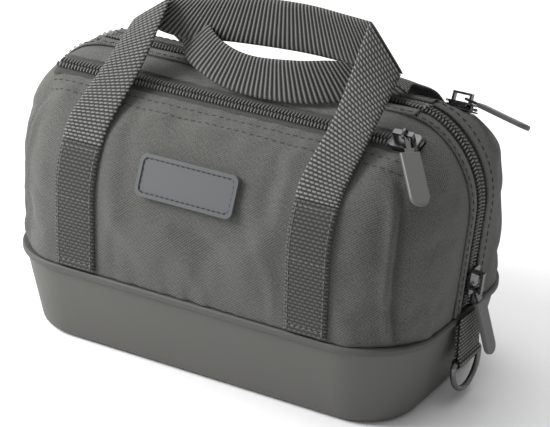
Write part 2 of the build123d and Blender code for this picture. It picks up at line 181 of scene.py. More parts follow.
def setVertices(obj, points):
    obj.data.vertices.foreach_set("co", (np.asarray(points) * mm).ravel())
    obj.data.update()


def applyModifiers(obj):
    graph = bpy.context.evaluated_depsgraph_get()
    mesh = bpy.data.meshes.new_from_object(obj.evaluated_get(graph), depsgraph=graph)
    old = obj.data
    obj.modifiers.clear()
    obj.data = mesh
    bpy.data.meshes.remove(old)


def wallOf(obj, thickness):
    wall = obj.modifiers.new("wall", "SOLIDIFY")
    wall.thickness = thickness * mm
    wall.offset = -1
    applyModifiers(obj)


def facesOut(obj):
    mesh = bmesh.new()
    mesh.from_mesh(obj.data)
    bmesh.ops.recalc_face_normals(mesh, faces=mesh.faces[:])
    mesh.to_mesh(obj.data)
    mesh.free()
    return obj


# short ways to add nodes to one tree
class Wiring:
    def __init__(self, tree):
        self.tree = tree

    def add(self, kind, **values):
        node = self.tree.nodes.new(kind)
        for key, value in values.items():
            setattr(node, key, value)
        return node

    def put(self, value, socket):
        if isinstance(value, bpy.types.NodeSocket):
            self.tree.links.new(value, socket)
        else:
            socket.default_value = value

    # adds a node with its inputs set or linked, and gives its outputs
    def feed(self, kind, inputs, **values):
        node = self.add(kind, **values)
        for key, value in inputs.items():
            self.put(value, node.inputs[key])
        return node.outputs

    def math(self, operation, a, b=0.0):
        return self.feed("ShaderNodeMath", {0: a, 1: b}, operation=operation)[0]

    def times(self, a, b):
        return self.math("MULTIPLY", a, b)

    def noise(self, vector, scale, detail, rough):
        inputs = {"Vector": vector, "Scale": scale, "Detail": detail, "Roughness": rough}
        return self.feed("ShaderNodeTexNoise", inputs)["Fac"]

    def span(self, value, low, high, newLow=0.0, newHigh=1.0):
        inputs = dict(enumerate((value, low, high, newLow, newHigh)))
        return self.feed("ShaderNodeMapRange", inputs)[0]

    def mix(self, factor, a, b):
        inputs = {"Factor": factor, 6: (*a, 1), 7: (*b, 1)}
        return self.feed("ShaderNodeMix", inputs, data_type="RGBA")[2]

    def rgb(self, color):
        node = self.add("ShaderNodeRGB")
        node.outputs[0].default_value = (*color, 1)
        return node.outputs[0]

    def uv(self):
        place = self.add("ShaderNodeUVMap").outputs[0]
        x, y, _ = self.feed("ShaderNodeSeparateXYZ", {0: place})
        return place, x, y

    def shade(self, color, factor):
        inputs = {0: color, "Scale": factor}
        return self.feed("ShaderNodeVectorMath", inputs, operation="SCALE")[0]


def newGroup(name, inputs, outputs):
    group = bpy.data.node_groups.new(name, "ShaderNodeTree")
    for label, value in inputs.items():
        socket = group.interface.new_socket(label, in_out="INPUT", socket_type="NodeSocketFloat")
        socket.default_value = value
    for label in outputs:
        group.interface.new_socket(label, in_out="OUTPUT", socket_type="NodeSocketFloat")
    w = Wiring(group)
    return group, w, w.add("NodeGroupInput").outputs, w.add("NodeGroupOutput").inputs


# plain weave: threads cross over and under on a UV laid out in millimetres
def weaveGroup():
    group, w, into, out = newGroup("nylonWeave", {"Threads": 1.6, "Slub": 0.5}, ("Height", "Fleck"))
    uv, x, y = w.uv()
    warp = w.times(x, into["Threads"])
    weft = w.times(y, into["Threads"])
    across = w.math("ABSOLUTE", w.math("SINE", w.times(warp, math.pi)))
    along = w.math("ABSOLUTE", w.math("SINE", w.times(weft, math.pi)))
    column = w.math("FLOOR", warp)
    row = w.math("FLOOR", weft)
    parity = w.math("MODULO", w.math("ABSOLUTE", w.math("ADD", column, row)), 2.0)
    over = w.times(w.times(across, parity), w.math("ADD", along, 0.35))
    even = w.math("SUBTRACT", 1.0, parity)
    under = w.times(w.times(along, even), w.math("ADD", across, 0.35))
    w.put(w.math("ADD", over, under), out["Height"])
    turned = {"Vector": uv, "Scale": (1.0, 0.28, 1.0), "Rotation": (0, 0, math.radians(38))}
    fleck = w.noise(w.feed("ShaderNodeMapping", turned)[0], 2.4, 1.0, 0.5)
    slub = w.noise(uv, 0.9, 2.0, 0.6)
    diagonal = w.math("ADD", x, w.times(y, -1.15))
    twill = w.math("SINE", w.times(diagonal, 2 * math.pi / 1.75))
    mixed = w.math("ADD", w.span(fleck, 0.4, 0.64), w.times(twill, 0.55))
    uneven = w.times(w.math("SUBTRACT", slub, 0.5), into["Slub"])
    both = w.math("ADD", mixed, uneven)
    w.put(both, out["Fleck"])
    return group


# webbing: offset rows of short floats, on a UV in millimetres with V along the strap
def webbingGroup():
    group, w, into, out = newGroup("webbingFloats", {"Pitch": 2.6, "Row": 1.9}, ("Height", "Mask"))
    uv, x, y = w.uv()
    row = w.math("DIVIDE", y, into["Row"])
    shift = w.times(w.math("MODULO", w.math("FLOOR", row), 2.0), 0.5)
    column = w.math("ADD", w.math("DIVIDE", x, into["Pitch"]), shift)
    wide = w.math("SINE", w.times(w.math("FRACT", column), math.pi))
    tall = w.math("SINE", w.times(w.math("FRACT", row), math.pi))
    wide = w.math("POWER", w.math("MAXIMUM", wide, 0.0), 0.5)
    tall = w.math("POWER", w.math("MAXIMUM", tall, 0.0), 2.2)
    bead = w.times(wide, tall)
    w.put(bead, out["Height"])
    w.put(w.span(bead, 0.25, 0.75), out["Mask"])
    return group


# grip webbing: ribs across the strap with fine cross yarns, on a UV in millimetres
def ribGroup():
    group, w, into, out = newGroup("webbingRibs", {"Pitch": 2.5, "Yarn": 1.15}, ("Height", "Mask"))
    uv, x, y = w.uv()
    rib = w.times(w.math("DIVIDE", y, into["Pitch"]), 2 * math.pi)
    rib = w.span(w.math("COSINE", rib), -1.0, 1.0)
    yarn = w.times(w.math("DIVIDE", x, into["Yarn"]), 2 * math.pi)
    yarn = w.span(w.math("SINE", yarn), -1.0, 1.0, 0.8, 1.0)
    both = w.times(rib, yarn)
    w.put(both, out["Height"])
    w.put(w.span(both, 0.12, 0.8), out["Mask"])
    return group


# slow tone drift and fine lint, on Object coordinates in metres
def dustGroup():
    inputs = {"Size": 30.0, "Amount": 0.1, "Grain": 1500.0}
    group, w, into, out = newGroup("toneDrift", inputs, ("Tone", "Grain"))
    place = w.add("ShaderNodeTexCoord").outputs["Object"]
    slow = w.noise(place, into["Size"], 3.0, 0.55)
    drift = w.times(w.math("SUBTRACT", slow, 0.5), w.times(into["Amount"], 2.0))
    w.put(w.math("ADD", drift, 1.0), out["Tone"])
    w.put(w.noise(place, into["Grain"], 2.0, 0.6), out["Grain"])
    return group


nylonWeave = weaveGroup()
webbingFloats = webbingGroup()
webbingRibs = ribGroup()
toneDrift = dustGroup()


def newMaterial(name, roughness, metallic=0.0, **sockets):
    material = bpy.data.materials.new(name)
    material.use_nodes = True
    w = Wiring(material.node_tree)
    shader = material.node_tree.nodes["Principled BSDF"]
    shader.inputs["Roughness"].default_value = roughness
    shader.inputs["Metallic"].default_value = metallic
    for key, value in sockets.items():
        shader.inputs[key.replace("_", " ")].default_value = value
    return material, w, shader


def useGroup(w, group, **values):
    return w.feed("ShaderNodeGroup", values, node_tree=group)


def bump(w, shader, height, strength, distance):
    inputs = {"Strength": strength, "Distance": distance, "Height": height}
    w.put(w.feed("ShaderNodeBump", inputs)[0], shader.inputs["Normal"])


def clothMaterial(name, base, light, threads=1.6, weight=1.0):
    material, w, shader = newMaterial(
        name, 0.86, Sheen_Weight=0.12, Sheen_Roughness=0.6, Specular_IOR_Level=0.25)
    weave = useGroup(w, nylonWeave, Threads=threads)
    drift = useGroup(w, toneDrift, Size=28.0, Amount=0.07)
    fleck = w.math("ADD", w.times(weave["Height"], 0.45), w.times(weave["Fleck"], 0.55))
    fleck = w.times(fleck, weight)
    color = w.mix(w.math("MINIMUM", w.math("MAXIMUM", fleck, 0.0), 1.0), base, light)
    w.put(w.shade(color, drift["Tone"]), shader.inputs["Base Color"])
    w.put(w.span(weave["Height"], 0.0, 1.0, 0.92, 0.78), shader.inputs["Roughness"])
    bump(w, shader, weave["Height"], 0.55, 0.00035)
    return material


def webbingMaterial(name, dark, light, group, **sizes):
    material, w, shader = newMaterial(name, 0.8, Sheen_Weight=0.08, Specular_IOR_Level=0.3)
    floats = useGroup(w, group, **sizes)
    drift = useGroup(w, toneDrift, Size=45.0, Amount=0.09, Grain=2500.0)
    color = w.mix(floats["Mask"], dark, light)
    fuzz = w.span(drift["Grain"], 0.3, 0.7, 0.86, 1.14)
    w.put(w.shade(w.shade(color, drift["Tone"]), fuzz), shader.inputs["Base Color"])
    bump(w, shader, floats["Height"], 0.9, 0.0005)
    return material


def mouldedMaterial(
    name, base, roughness, grain=1400.0, depth=0.00012, strength=0.35, amount=0.05, **sockets
):
    material, w, shader = newMaterial(name, roughness, **sockets)
    drift = useGroup(w, toneDrift, Size=14.0, Amount=amount, Grain=grain)
    speckle = drift["Grain"]
    color = w.shade(w.rgb(base), drift["Tone"])
    w.put(w.shade(color, w.span(speckle, 0.3, 0.7, 0.95, 1.05)), shader.inputs["Base Color"])
    rough = w.span(speckle, 0.3, 0.7, roughness - 0.05, roughness + 0.05)
    w.put(rough, shader.inputs["Roughness"])
    bump(w, shader, speckle, strength, depth)
    return material


def metalMaterial(name, base, roughness, scratch=900.0):
    material, w, shader = newMaterial(name, roughness, 1.0)
    drift = useGroup(w, toneDrift, Size=60.0, Amount=0.12, Grain=scratch)
    w.put(w.shade(w.rgb(base), drift["Tone"]), shader.inputs["Base Color"])
    rough = w.span(drift["Grain"], 0.3, 0.7, roughness - 0.06, roughness + 0.1)
    w.put(rough, shader.inputs["Roughness"])
    bump(w, shader, drift["Grain"], 0.12, 0.00005)
    return material


print("materials")
clothGrey = clothMaterial("nylonCloth", (0.032, 0.032, 0.0295), (0.125, 0.125, 0.115))
liningGrey = clothMaterial("liningCloth", (0.12, 0.12, 0.12), (0.2, 0.2, 0.195), 2.6, 0.8)
tapeDark = clothMaterial("zipTape", (0.028, 0.028, 0.027), (0.06, 0.06, 0.057), 2.4, 0.8)
floatSizes = {"Pitch": 2.9, "Row": 2.0}
webbingGrey = webbingMaterial(
    "strapWebbing", (0.02, 0.02, 0.0185), (0.19, 0.19, 0.18), webbingFloats, **floatSizes)
# darker copy of the strap webbing for the straps sewn to the panels: painted shade, since they are
# the same webbing as the brighter handle legs
shadedStrapWebbing = webbingMaterial(
    "shadedStrapWebbing", (0.022, 0.023, 0.021), (0.085, 0.087, 0.082), webbingFloats, **floatSizes)
bandGrey = webbingMaterial(
    "gripWebbing", (0.018, 0.018, 0.017), (0.15, 0.15, 0.142), webbingRibs, Pitch=2.5)
threadDark = mouldedMaterial("stitchThread", (0.03, 0.03, 0.028), 0.7, 4000.0)
threadLight = mouldedMaterial("stitchThreadLight", (0.11, 0.11, 0.105), 0.6, 4000.0)
coilGrey = mouldedMaterial("zipCoil", (0.12, 0.12, 0.113), 0.38, 3000.0, Specular_IOR_Level=0.5)
shellGrey = mouldedMaterial(
    "mouldedShell", (0.088, 0.087, 0.08), 0.62, 1500.0, 0.00008, 0.3, 0.04, Specular_IOR_Level=0.35)
pipingGrey = mouldedMaterial("seamPiping", (0.06, 0.06, 0.056), 0.66, 2000.0)
boardBlack = mouldedMaterial("stiffener", (0.03, 0.03, 0.03), 0.6, 900.0)
badgeRubber = mouldedMaterial(
    "badgeRubber", (0.074, 0.079, 0.082), 0.5, 2200.0, Specular_IOR_Level=0.45)
gripRubber = mouldedMaterial("pullRubber", (0.09, 0.09, 0.087), 0.48, 2600.0)
sliderMetal = metalMaterial("sliderPlating", (0.11, 0.11, 0.112), 0.26)
wireMetal = metalMaterial("ringWire", (0.17, 0.17, 0.165), 0.4)

paints = {
    "base_tray": shellGrey, "base_board": boardBlack, "seam_piping": pipingGrey,
    "badge": badgeRubber, "d_ring_right": wireMetal, "d_ring_left": wireMetal,
}
for place in ("front", "back", "main"):
    paints[place + "_slider"] = paints[place + "_pull_link"] = sliderMetal
    paints[place + "_pull_grip"] = gripRubber
for node, material in paints.items():
    nodes[node].data.materials.clear()
    nodes[node].data.materials.append(material)

clothMake = {
    "gridSteps": 44, "voxel": 0.0045, "frames": 20, "pressure": 4.0, "slack": -0.02, "cap": 4.5,
    "thickness": 1.6, "pucker": 0.5, "crease": 3.0,
}
clothSettings = {
    "quality": 5, "mass": 0.3, "tension_stiffness": 12, "compression_stiffness": 12,
    "shear_stiffness": 5, "bending_stiffness": 0.3, "use_pressure": True, "pin_stiffness": 1,
}
strapX = 72.0
strapHalf = 12.7
badgeCentre = (-3.0, 114.0)
roofFrom = 120.0
farAway = 99


# distance up the roof from the front pocket zip's centre line
def roofAcross(p):
    return (p[:, 1] + zipY) * math.cos(slope) + (p[:, 2] - roofZ) * math.sin(slope)


# 1 where the cloth is sewn down or lies under something, 0 in the middle of a free area
def heldShare(p):
    x, y, z = p[:, 0], p[:, 1], p[:, 2]

    def near(distance, hold, free):
        return np.clip(1 - (distance - hold) / (free - hold), 0, 1)

    zipAway = np.maximum(np.abs(roofAcross(p)), np.abs(x) - zipHalf)
    zipAway = np.where(z > roofFrom, zipAway, farAway)
    strapAway = np.abs(np.abs(x) - strapX)
    badgeAway = np.maximum(np.abs(x - badgeCentre[0]) - 30, np.abs(z - badgeCentre[1]) - 11)
    badgeAway = np.where(y < -40, badgeAway, farAway)
    held = np.maximum.reduce([
        near(-y, 14, 24), near(z, 53, 62), near(zipAway, 9, 16), near(strapAway, 15, 22),
        near(badgeAway, 2, 14),
    ])
    return held * held * (3 - 2 * held)


# closed half of the bag: a grid carried outwards from an inner point to the outline
def starForm(side):
    steps = clothMake["gridSteps"]
    cube = bmesh.new()
    bmesh.ops.create_cube(cube, size=2)
    bmesh.ops.subdivide_edges(cube, edges=cube.edges[:], cuts=steps, use_grid_fill=True)
    cube.verts.ensure_lookup_table()
    ray = np.array([v.co[:] for v in cube.verts]) * np.array((125, 36, 55))
    centre = np.array((0, -36, 100.0))
    low, high = np.zeros(len(ray)), np.full(len(ray), 3.0)
    for _ in range(30):
        half = (low + high) / 2
        p = centre + ray * half[:, None]
        field = np.maximum.reduce([bagField(p), p[:, 1] + 1, 42 - p[:, 2]])
        low, high = np.where(field < 0, half, low), np.where(field < 0, high, half)
    p = centre + ray * low[:, None]
    faces = [[v.index for v in f.verts] for f in cube.faces]
    cube.free()
    return meshPiece(side, p, faces, clothGrey)


def remeshed(obj):
    remesh = obj.modifiers.new("even", "REMESH")
    remesh.mode = "VOXEL"
    remesh.voxel_size = clothMake["voxel"]
    applyModifiers(obj)


# Cloth with pressure and a little slack between the sewn lines
def swell(obj):
    rest = vertexArray(obj)
    pins = obj.vertex_groups.new(name="sewn")
    for index, weight in enumerate(heldShare(rest)):
        if weight > 0.01:
            pins.add([index], float(weight), "REPLACE")
    cloth = obj.modifiers.new("padding", "CLOTH")
    settings = cloth.settings
    for key, value in clothSettings.items():
        setattr(settings, key, value)
    settings.uniform_pressure_force = clothMake["pressure"]
    settings.shrink_min = clothMake["slack"]
    settings.vertex_group_mass = "sewn"
    settings.effector_weights.gravity = 0
    cloth.collision_settings.use_collision = False
    cloth.point_cache.frame_start = 1
    cloth.point_cache.frame_end = clothMake["frames"]
    scene = bpy.context.scene
    for step in range(1, clothMake["frames"] + 1):
        scene.frame_set(step)
    applyModifiers(obj)
    moved = vertexArray(obj) - rest
    far = np.linalg.norm(moved, axis=1)
    limit = clothMake["cap"] * np.tanh(far / clothMake["cap"]) / np.maximum(far, 1e-6)
    setVertices(obj, rest + moved * limit[:, None] * (1 - heldShare(rest))[:, None])
    scene.frame_set(1)
    obj.vertex_groups.clear()


# cuts the shell along its seams and the pocket slot, and drops the inner sides
def trimToSeams(obj):
    up = Vector((0, math.cos(slope), math.sin(slope)))
    onZip = Vector((0, -zipY * mm, roofZ * mm))
    mesh = bmesh.new()
    mesh.from_mesh(obj.data)

    def cut(point, normal, zone=lambda c: True):
        part = [f for f in mesh.faces if zone(f.calc_center_median())]
        geometry = part + list({e for f in part for e in f.edges})
        geometry += list({v for f in part for v in f.verts})
        bmesh.ops.bisect_plane(mesh, geom=geometry, plane_co=point, plane_no=normal, dist=1e-6)

    cut(Vector((0, -slotHalf * mm, 0)), Vector((0, 1, 0)))
    cut(Vector((0, 0, bagForm["seamZ"] * mm)), Vector((0, 0, 1)))

    def within(c, up2, side2):
        onRoof = c.z > roofFrom * mm
        return onRoof and abs((c - onZip).dot(up)) < up2 * mm and abs(c.x) < side2 * mm

    def nearSlot(c):
        return within(c, 20, zipHalf + 9)

    for side in (-1, 1):
        cut(onZip + up * side * slotHalf * mm, up, nearSlot)
        cut(Vector((side * zipHalf * mm, 0, 0)), Vector((1, 0, 0)), nearSlot)
    drop = []
    for f in mesh.faces:
        c = f.calc_center_median()
        inSlot = within(c, slotHalf, zipHalf)
        if c.y > -slotHalf * mm or c.z < bagForm["seamZ"] * mm or inSlot:
            drop.append(f)
    bmesh.ops.delete(mesh, geom=drop, context="FACES")
    bmesh.ops.remove_doubles(mesh, verts=mesh.verts[:], dist=2e-5)
    bmesh.ops.recalc_face_normals(mesh, faces=mesh.faces[:])
    mesh.to_mesh(obj.data)
    mesh.free()


# smooth repeatable noise in -1..1 at the given size in millimetres
def valueNoise(p, size, seed):
    rng = np.random.default_rng(seed)
    total = np.zeros(len(p))
    for k in range(6):
        direction = rng.normal(size=3)
        direction /= np.linalg.norm(direction)
        phase = rng.uniform(0, 2 * math.pi)
        total += np.sin(p @ direction * 2 * math.pi / (size * rng.uniform(0.75, 1.35)) + phase)
    return total / 3


# small gathers that run out from the seams, and the fold down each corner
def pucker(obj, seed):
    p = vertexArray(obj)
    n = np.array([v.normal[:] for v in obj.data.vertices])
    x, y, z = p[:, 0], p[:, 1], p[:, 2]
    ends = np.abs(x) > 105
    along = np.where(ends, y, x)
    seamNear = np.exp(-(z - bagForm["seamZ"]) / 9.0)
    zipNear = np.exp(-np.maximum(np.abs(roofAcross(p)) - slotHalf, 0) / 8.0)
    zipNear = np.where((z > 118) & ~ends, zipNear, 0)
    lines = np.stack([along, np.zeros_like(z), z * 0.15], 1)
    gather = valueNoise(lines, 7.5, seed) + 0.6 * valueNoise(lines, 13.0, seed + 1)
    wide = valueNoise(p, 46.0, seed + 2) + 0.5 * valueNoise(p, 24.0, seed + 3)
    free = 1 - heldShare(p)
    lift = clothMake["pucker"] * gather * (0.8 * seamNear + 0.7 * zipNear)
    lift += 0.55 * wide * free
    # a shallow crease down each rounded corner, fuller beside it
    cornerX = bagForm["halfLength"] - bagForm["planCornerR"] + 30.0
    away = ((np.abs(x) - cornerX) - (-y - 57.2)) / math.sqrt(2)
    body = np.clip((138 - z) / 20, 0, 1) * np.clip((z - 50) / 8, 0, 1) * (y < -30)
    away = away - 2.2 * np.sin(z / 17.0)
    lift -= clothMake["crease"] * np.exp(-(away / 1.9) ** 2) * body
    beside = 0.9 * np.exp(-((away - 7) / 5) ** 2)
    lift += (beside + 2.4 * np.exp(-((away + 4.2) / 3.2) ** 2)) * body
    setVertices(obj, p + n * lift[:, None])


# lays the weave out in millimetres: round the outline on the sides, over the end on the ends
def clothUv(obj):
    mesh = obj.data
    layer = mesh.uv_layers.new(name="UVMap")
    x, y, z = vertexArray(obj).T
    low, r, endLow = bagForm["shoulderZ"], bagForm["shoulderR"], bagForm["endZ"]
    angle = np.arctan2(z - low, -y - bagForm["shoulderY"])
    shoulder = math.radians(shoulderTurn)
    over = np.where(z < low, z, low + r * np.clip(angle, 0, shoulder))
    shoulderEnd = -37.36
    past = np.where(angle > shoulder, (y - shoulderEnd) / math.cos(slope), 0)
    over = over + np.maximum(past, 0)
    turn = np.clip(np.arctan2(z - endLow, np.abs(x) - bagForm["endX"]), 0, math.pi / 2)
    endOver = np.where(z < endLow, z, endLow + bagForm["endR"] * turn)
    uv = np.zeros((len(mesh.loops), 2))
    for f in mesh.polygons:
        onEnd = abs(f.normal.x) > 0.72
        for k in f.loop_indices:
            v = mesh.loops[k].vertex_index
            uv[k] = (y[v] + uvShift, endOver[v]) if onEnd else (x[v] + uvShift, over[v])
    layer.data.foreach_set("uv", uv.ravel())


def mirrorMesh(obj):
    setVertices(obj, flipY(vertexArray(obj)))
    obj.data.flip_normals()


def clothHalf(name, seed):
    obj = starForm(name)
    remeshed(obj)
    swell(obj)
    trimToSeams(obj)
    subdivide = obj.modifiers.new("smooth", "SUBSURF")
    subdivide.levels = subdivide.render_levels = 1
    applyModifiers(obj)
    pucker(obj, seed)
    wallOf(obj, clothMake["thickness"])
    obj.data.materials.clear()
    obj.data.materials.append(clothGrey)
    clothUv(obj)
    obj.data.shade_smooth()
    return obj


print("cloth halves")
frontCloth = clothHalf("frontCloth", 11)
backCloth = clothHalf("backCloth", 23)
mirrorMesh(backCloth)


def surfaceOf(obj):
    mesh = bmesh.new()
    mesh.from_mesh(obj.data)
    tree = BVHTree.FromBMesh(mesh)
    mesh.free()
    return tree


# drops front-side points on the finished cloth, and gives them with their normals
def onCloth(points, tree, lift, flip=False):
    p = dropOn(points, 0)
    p, n = sided(flip, p, fieldNormal(p))
    out = []
    for q, d in zip(p, n):
        start = Vector((q + d * 14) * mm)
        hit = tree.ray_cast(start, Vector(-d), 0.03)[0]
        out.append(np.array(hit) / mm if hit is not None else q)
    out = np.array(out)
    return out + n * lift, n


halves = (("front", False), ("back", True))
trees = {False: surfaceOf(frontCloth), True: surfaceOf(backCloth)}


def profilePoint(angle, lift=0.0):
    r = bagForm["shoulderR"] + lift
    return (-bagForm["shoulderY"] - r * math.cos(angle), bagForm["shoulderZ"] + r * math.sin(angle))


def distances(line):
    return np.concatenate([[0], np.cumsum(np.linalg.norm(np.diff(line, axis=0), axis=1))])


# evenly spaced points on a smooth curve through the given ones
def smoothLine(points, count):
    q = np.array(points, float)
    ext = np.vstack([2 * q[0] - q[1], q, 2 * q[-1] - q[-2]])
    out = []
    for k in range(1, len(ext) - 2):
        a, b, c, d = ext[k - 1:k + 3]
        for t in np.linspace(0, 1, 24, endpoint=False):
            bend, twist = 2 * a - 5 * b + 4 * c - d, 3 * b - a - 3 * c + d
            out.append(0.5 * (2 * b + (c - a) * t + bend * t * t + twist * t ** 3))
    out.append(q[-1])
    out = np.array(out)
    gone = distances(out)
    want = np.linspace(0, gone[-1], count)
    return np.stack([np.interp(want, gone, out[:, k]) for k in range(3)], 1)


# moving average along a line, its ends left where they are
def evened(rows, reach):
    padded = np.vstack([rows[:1]] * reach + [rows] + [rows[-1:]] * reach)
    total = np.cumsum(np.vstack([np.zeros((1, rows.shape[1])), padded]), axis=0)
    return (total[2 * reach + 1:] - total[:-2 * reach - 1]) / (2 * reach + 1)


# the long zip's path over the top at a given y
def archLine(y, lift, lowZ, count):
    form = bagForm
    lean = math.tan(math.radians(form["endLean"]))
    half = []
    for z in np.linspace(lowZ, form["endZ"] - 4, 40):
        half.append((form["halfLength"] + (z - form["seamZ"]) * lean, y, z))
    for a in np.radians(np.linspace(0, 88, 40)):
        across, up = form["endR"] * math.cos(a), form["endR"] * math.sin(a)
        half.append((form["endX"] + across, y, form["endZ"] + up))
    half = np.array(half)
    line = np.vstack([half * (-1, 1, 1), half[::-1]])
    line = dropOn(line, lift)
    return smoothLine(line, count)


# closed webbing between two edge lines, with rounded selvedges and optional ribs
def ribbonPiece(
    name, edgeA, edgeB, normals, thickness, material, across, ribPitch=0.0, ribDepth=0.0
):
    edgeA, edgeB, normals = (np.array(q, float) for q in (edgeA, edgeB, normals))
    count = len(edgeA)
    gone = distances((edgeA + edgeB) / 2)
    width = np.linalg.norm(edgeB - edgeA, axis=1)
    s = np.linspace(-1, 1, across + 1)
    shape = np.sqrt(np.clip(1 - np.abs(s) ** 6, 0.08, 1)) * thickness / 2
    points, uv = [], []
    for k in range(count):
        rib = ribDepth * math.cos(2 * math.pi * gone[k] / ribPitch) if ribPitch else 0
        for face in (1, -1):
            order = range(across + 1) if face > 0 else range(across, -1, -1)
            for j in order:
                base = edgeA[k] + (edgeB[k] - edgeA[k]) * (s[j] + 1) / 2
                half = shape[j] + rib * 0.5 * (1 - abs(s[j]) ** 8)
                points.append(base + normals[k] * (face * half))
                uv.append(((s[j] + 1) / 2 * max(width[k], 1e-3), gone[k]))
    ring = 2 * (across + 1)
    faces = []
    for k in range(count - 1):
        for j in range(ring):
            a, b = k * ring + j, k * ring + (j + 1) % ring
            faces.append((a, b, b + ring, a + ring))
    faces.append(tuple(range(ring))[::-1])
    faces.append(tuple((count - 1) * ring + j for j in range(ring)))
    return facesOut(meshPiece(name, points, faces, material, uv))


# one piece from several, each part with its own material
def joinPieces(name, parts):
    mesh = bmesh.new()
    first = parts[0]
    for part in parts:
        material = part.data.materials[0]
        if material.name not in first.data.materials:
            first.data.materials.append(material)
        known = len(mesh.faces)
        mesh.from_mesh(part.data)
        mesh.faces.ensure_lookup_table()
        for face in mesh.faces[known:]:
            face.material_index = first.data.materials.find(material.name)
    mesh.to_mesh(first.data)
    mesh.free()
    for part in parts[1:]:
        old = part.data
        bpy.data.objects.remove(part)
        bpy.data.meshes.remove(old)
    first.name = name
    first.data.name = name
    return first


print("straps")
strapMake = {"thickness": 1.8, "topZ": 121.0, "footZ": 51.2, "ribPitch": 2.5, "ribDepth": 0.55}


# the angle round the shoulder at which it is z high
def shoulderAngle(z):
    return math.asin((z - bagForm["shoulderZ"]) / bagForm["shoulderR"])


# a line up the panel and round the shoulder at a given x
def panelLine(x, lowZ, steps, firstTurn, lastTurn, turns):
    heights = np.linspace(lowZ, bagForm["shoulderZ"], steps)
    line = [(x, -bagForm["halfWidth"], z) for z in heights]
    return np.array(line + [(x, *profilePoint(a)) for a in np.linspace(firstTurn, lastTurn, turns)])


hingeA = shoulderAngle(strapMake["topZ"])


def sewnStrap(x, flip):
    line = panelLine(x, strapMake["footZ"], 34, 0.02, hingeA, 26)
    centre = dropOn(line, strapMake["thickness"] / 2 + 0.15)
    n = fieldNormal(centre)
    left, right = centre - (strapHalf, 0, 0), centre + (strapHalf, 0, 0)
    left, right, n = sided(flip, left, right, n)
    # the sewn straps take the darker webbing copy, which is painted shade
    return ribbonPiece("strap", left, right, n, strapMake["thickness"], shadedStrapWebbing, 18)


for half, flip in halves:
    joinPieces(half + "Straps", [sewnStrap(x, flip) for x in (-strapX, strapX)])


def ruledNormals(edgeA, edgeB, towards):
    along = np.gradient((edgeA + edgeB) / 2, axis=0)
    n = np.cross(along, edgeB - edgeA)
    n = unit(n, 1e-9)
    return np.where((n @ np.array(towards))[:, None] < 0, -n, n)


def strapBetween(name, edgeA, edgeB, count, towards, material, ribPitch=0.0):
    a, b = smoothLine(edgeA, count), smoothLine(edgeB, count)
    n = ruledNormals(a, b, towards)
    thickness, depth = strapMake["thickness"], strapMake["ribDepth"]
    return ribbonPiece(name, a, b, n, thickness, material, 18, ribPitch, depth)


# each leg leaves its strap here
legFoot = (
    profilePoint(hingeA + 0.004, 1.05), profilePoint(hingeA + 0.14, 1.25),
    profilePoint(hingeA + 0.3, 2.6),
)

# Legs rise to folded corners, given left then right, and the band bows between them.
# A leg's via points are a share of the way from foot to corner in x, then y and z.
frontHandleShape = {
    "side": 1, "footDrift": 1.5, "legFaces": (0, -1, 0.4),
    "foldTop": ((-47.5, -17.0, 194.0), (71.0, -15.0, 203.0)),
    "foldLow": ((-70.0, -19.5, 178.0), (92.0, -18.5, 180.0)),
    "legTop": ((0.55, -37, 160),), "legLow": ((0.55, -38.5, 156),),
    "bandTop": ((-30, -13.5, 195.5), (0, -10, 201), (30, -9.5, 203), (55, -12.5, 203)),
    "bandLow": ((-46, -15.5, 172), (-10, -12, 174.5), (30, -12, 177), (66, -15.5, 178)),
    "shiftTop": (0, 2.0, -0.4), "shiftLow": (0, 2.0, 0),
}
backHandleShape = {
    "side": -1, "footDrift": 0, "legFaces": (0, 0.3, 1),
    "foldTop": ((-31.0, -9.0, 184.0), (66.0, -7.0, 178.0)),
    "foldLow": ((-47.0, -6.0, 168.0), (90.0, -6.0, 166.0)),
    "legTop": ((0, 40, 151.0), (0, 22, 161.0), (0.4, 6, 170.0)),
    "legLow": ((0, 40, 151.0), (0, 22, 160.0), (0.4, 6, 166.5)),
    "bandTop": ((-16, -17, 177), (4, -20.5, 173.5), (30, -19.5, 175.5), (50, -14.5, 178)),
    "bandLow": ((-34, -19, 161), (-5, -26.5, 154.5), (30, -26.5, 154.5), (58, -19, 158)),
    "shiftTop": (0, 0, 0), "shiftLow": (0, 0, 0),
}


def handlePiece(name, shape):
    parts = []
    for which, side in enumerate((-1, 1)):
        edges = []
        for edge, end in ((-strapHalf, "Top"), (strapHalf, "Low")):
            x, corner = side * (strapX + edge), shape["fold" + end][which]
            line = [(x, shape["side"] * y, z) for y, z in legFoot]
            line[-1] = (x + shape["footDrift"], *line[-1][1:])
            for share, y, z in shape["leg" + end]:
                line.append((x * (1 - share) + corner[0] * share, y, z))
            edges.append(line + [corner])
        parts.append(strapBetween("leg", *edges, 90, shape["legFaces"], webbingGrey))
    edges = []
    for end in ("Low", "Top"):
        left, right = shape["fold" + end]
        edges.append(np.array([left, *shape["band" + end], right]) + shape["shift" + end])
    parts.append(strapBetween("band", *edges, 400, (0, -1, 0), bandGrey, strapMake["ribPitch"]))
    return joinPieces(name, parts)


handlePiece("frontHandle", frontHandleShape)
handlePiece("backHandle", backHandleShape)


